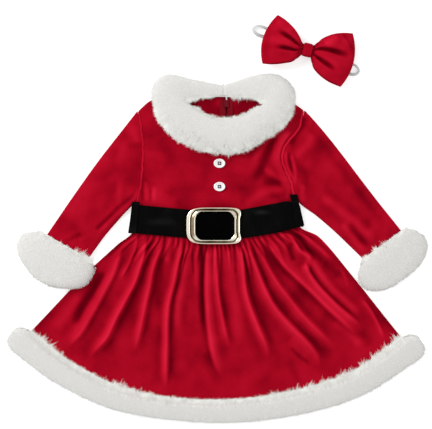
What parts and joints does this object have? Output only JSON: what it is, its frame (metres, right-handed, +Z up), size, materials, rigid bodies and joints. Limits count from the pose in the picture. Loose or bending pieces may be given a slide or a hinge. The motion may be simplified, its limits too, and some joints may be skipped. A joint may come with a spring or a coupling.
{
  "type": "santa dress set",
  "caption": "Long-sleeved toddler's dress of red velvet with white fur trim, a belt with a buckle and a bow headband, laid flat.",
  "frame": {"origin": "on the surface that the dress lies on, under the belt's back strip, at the middle of the picture", "axes": "+X across the laid-out dress to the wearer's left sleeve, +Y from the hem to the neck, +Z up off the surface"},
  "size_m": [0.5844, 0.5692, 0.027],
  "materials": {
    "velvet": "deep red velvet with a short pile and a soft sheen",
    "fur": "white plush faux fur",
    "belt_velvet": "black velvet with a faint grey sheen",
    "buckle_gold": "polished pale gold plating",
    "button_pearl": "glossy white plastic",
    "zip_tape": "dark red woven tape",
    "zip_metal": "dark red lacquer",
    "elastic": "white woven elastic ribbon"
  },
  "bodies": {
    "garment": {"bodice_front": "velvet", "bodice_back_left": "velvet", "bodice_back_right": "velvet", "skirt_front": "velvet", "skirt_back": "velvet", "sleeve_left": "velvet", "sleeve_right": "velvet", "cuff_left": "fur", "cuff_right": "fur", "collar": "fur", "hem_front": "fur", "hem_back": "fur", "belt": "belt_velvet", "belt_loop_left": "belt_velvet", "belt_loop_right": "belt_velvet", "buckle": "buckle_gold", "button_top": "button_pearl", "button_bottom": "button_pearl", "zip_tape_left": "zip_tape", "zip_tape_right": "zip_tape", "zip_slider": "zip_metal", "bow_wing_left": "velvet", "bow_wing_right": "velvet", "bow_knot": "velvet", "headband": "elastic"},
    "zip_pull": {"zip_pull": "zip_metal"}
  },
  "joints": [
    {"name": "zip_pull_hinge", "type": "hinge", "parent": "garment", "child": "zip_pull", "pos_m": [0.0146, 0.152, 0.0019], "axis": [1, 0, 0], "range_deg": [0, 150]}
  ]
}
